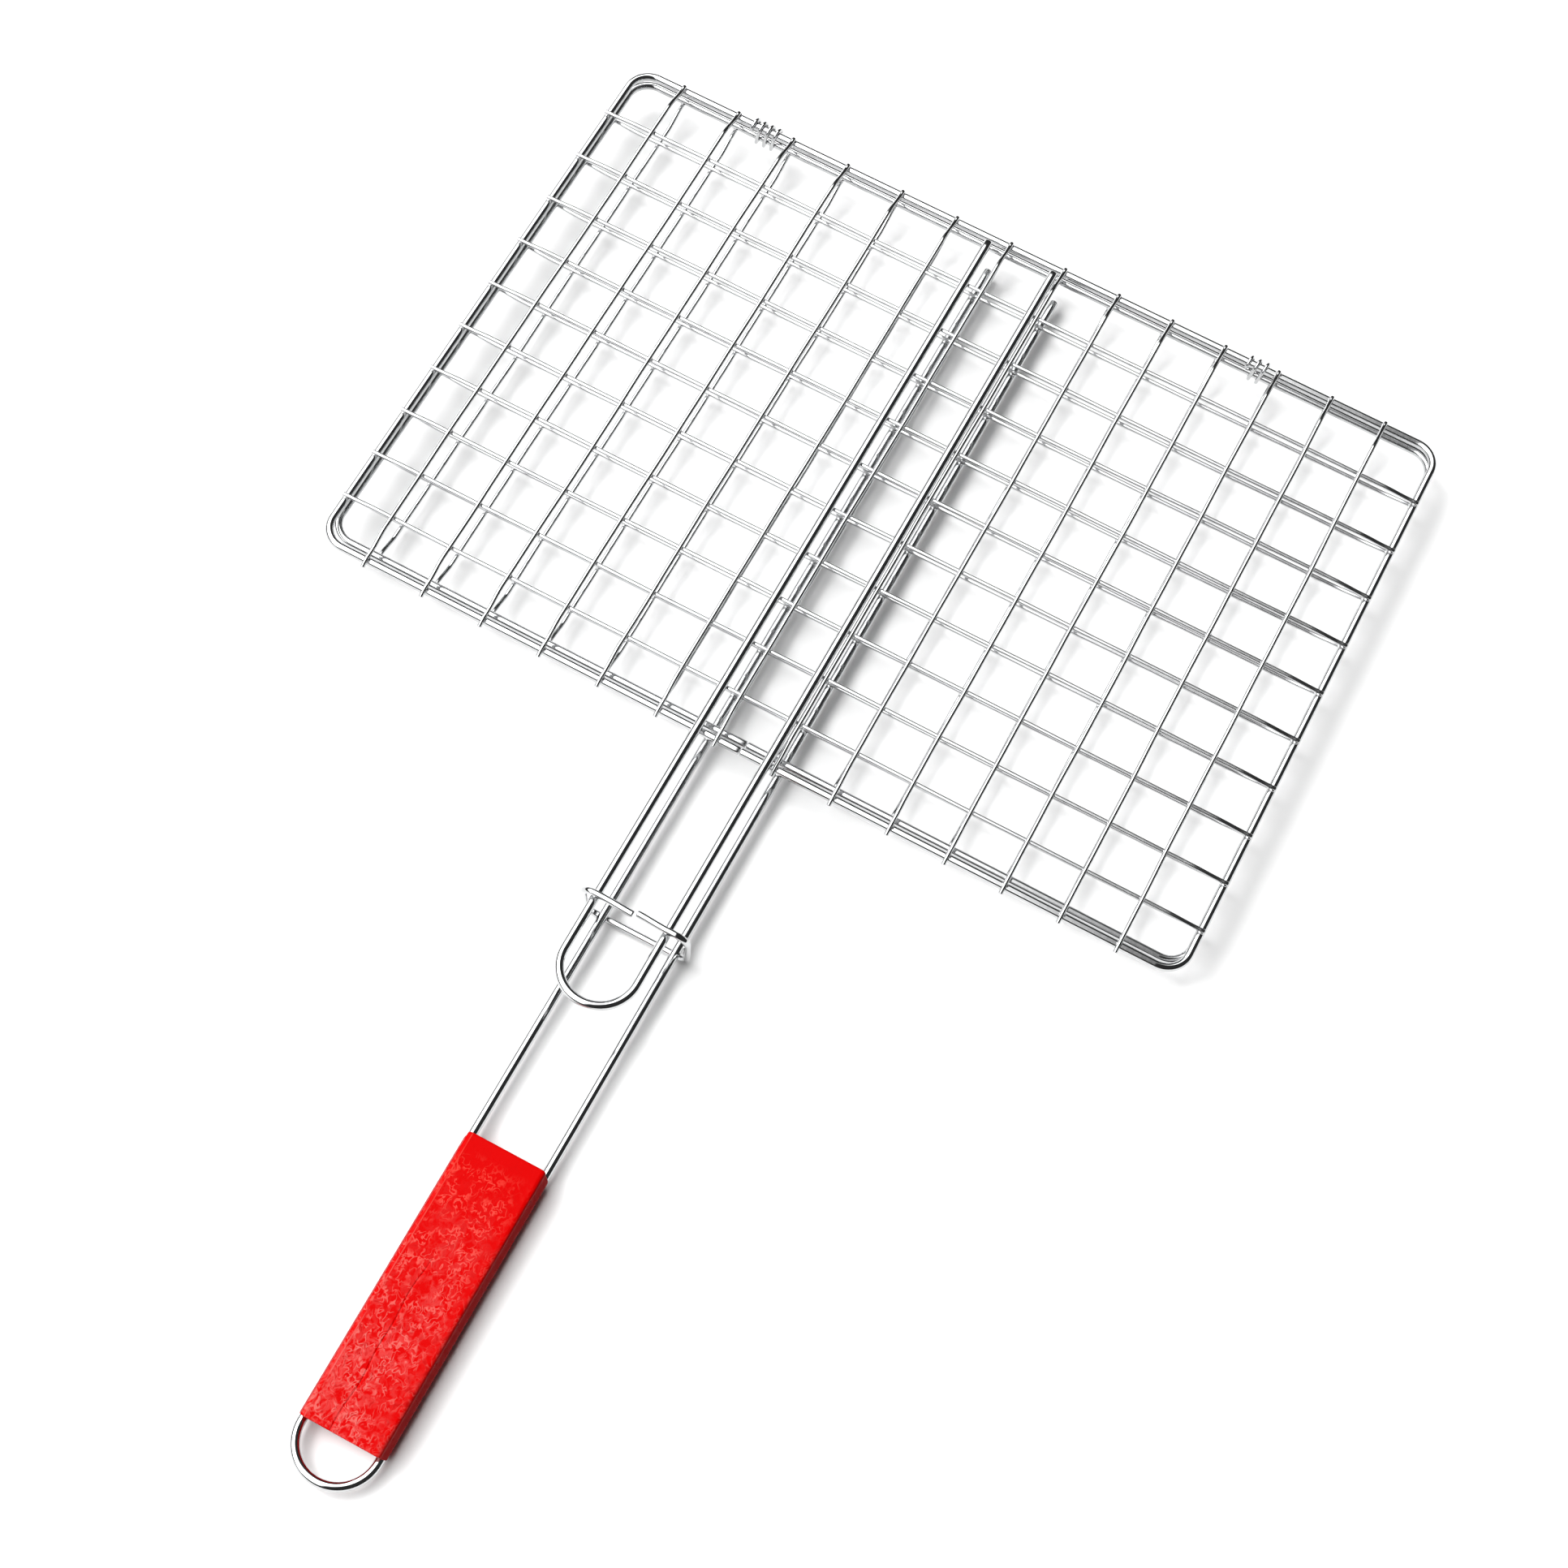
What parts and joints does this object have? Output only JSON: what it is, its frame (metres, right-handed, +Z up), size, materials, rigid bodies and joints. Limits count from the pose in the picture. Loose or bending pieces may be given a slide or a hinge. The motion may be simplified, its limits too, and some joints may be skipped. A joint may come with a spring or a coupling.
{
  "type": "grill basket",
  "caption": "Hinged wire grill basket with a latching slide ring, a long U-shaped rod handle, a flat red wooden grip and a hanging loop.",
  "frame": {"origin": "middle of the footprint, at the height of the grip's underside", "axes": "+Y points from the handle towards the hinge side, +X to the right seen from the handle, +Z up out of the lid"},
  "size_m": [0.35, 0.534, 0.028],
  "materials": {
    "chromed_rod": "bright chrome plate on drawn steel rod",
    "mesh_wire": "bright chrome plate on thin drawn wire, lightly dulled at the welds",
    "clip_wire": "bright chrome plate on thin spring wire",
    "painted_grip": "glossy red paint over a flat wooden slat, grain showing through"
  },
  "bodies": {
    "lower_panel": {"lower_frame": "chromed_rod", "lower_long_wire_01": "mesh_wire", "lower_long_wire_02": "mesh_wire", "lower_long_wire_03": "mesh_wire", "lower_long_wire_04": "mesh_wire", "lower_long_wire_05": "mesh_wire", "lower_long_wire_06": "mesh_wire", "lower_long_wire_07": "mesh_wire", "lower_long_wire_08": "mesh_wire", "lower_long_wire_09": "mesh_wire", "lower_long_wire_10": "mesh_wire", "lower_long_wire_11": "mesh_wire", "lower_long_wire_12": "mesh_wire", "lower_long_wire_13": "mesh_wire", "lower_long_wire_14": "mesh_wire", "lower_cross_wire_01": "mesh_wire", "lower_cross_wire_02": "mesh_wire", "lower_cross_wire_03": "mesh_wire", "lower_cross_wire_04": "mesh_wire", "lower_cross_wire_05": "mesh_wire", "lower_cross_wire_06": "mesh_wire", "lower_cross_wire_07": "mesh_wire", "lower_cross_wire_08": "mesh_wire", "lower_cross_wire_09": "mesh_wire", "lower_cross_wire_10": "mesh_wire", "handle_rod": "chromed_rod", "grip": "painted_grip", "hinge_clip_left": "clip_wire", "hinge_clip_right": "clip_wire"},
    "upper_panel": {"upper_frame": "chromed_rod", "upper_long_wire_01": "mesh_wire", "upper_long_wire_02": "mesh_wire", "upper_long_wire_03": "mesh_wire", "upper_long_wire_04": "mesh_wire", "upper_long_wire_05": "mesh_wire", "upper_long_wire_06": "mesh_wire", "upper_long_wire_07": "mesh_wire", "upper_long_wire_08": "mesh_wire", "upper_long_wire_09": "mesh_wire", "upper_long_wire_10": "mesh_wire", "upper_long_wire_11": "mesh_wire", "upper_long_wire_12": "mesh_wire", "upper_long_wire_13": "mesh_wire", "upper_long_wire_14": "mesh_wire", "upper_cross_wire_01": "mesh_wire", "upper_cross_wire_02": "mesh_wire", "upper_cross_wire_03": "mesh_wire", "upper_cross_wire_04": "mesh_wire", "upper_cross_wire_05": "mesh_wire", "upper_cross_wire_06": "mesh_wire", "upper_cross_wire_07": "mesh_wire", "upper_cross_wire_08": "mesh_wire", "upper_cross_wire_09": "mesh_wire", "upper_cross_wire_10": "mesh_wire", "lid_rod": "chromed_rod"},
    "ring": {"locking_ring": "chromed_rod"}
  },
  "joints": [
    {"name": "lid_hinge", "type": "hinge", "parent": "lower_panel", "child": "upper_panel", "pos_m": [0, 0.26368, 0.0166], "axis": [-1, 0, 0], "range_deg": [0, 180]},
    {"name": "ring_slide", "type": "slide", "parent": "lower_panel", "child": "ring", "axis": [0, -1, 0], "range_m": [-0.071, 0.088]}
  ]
}
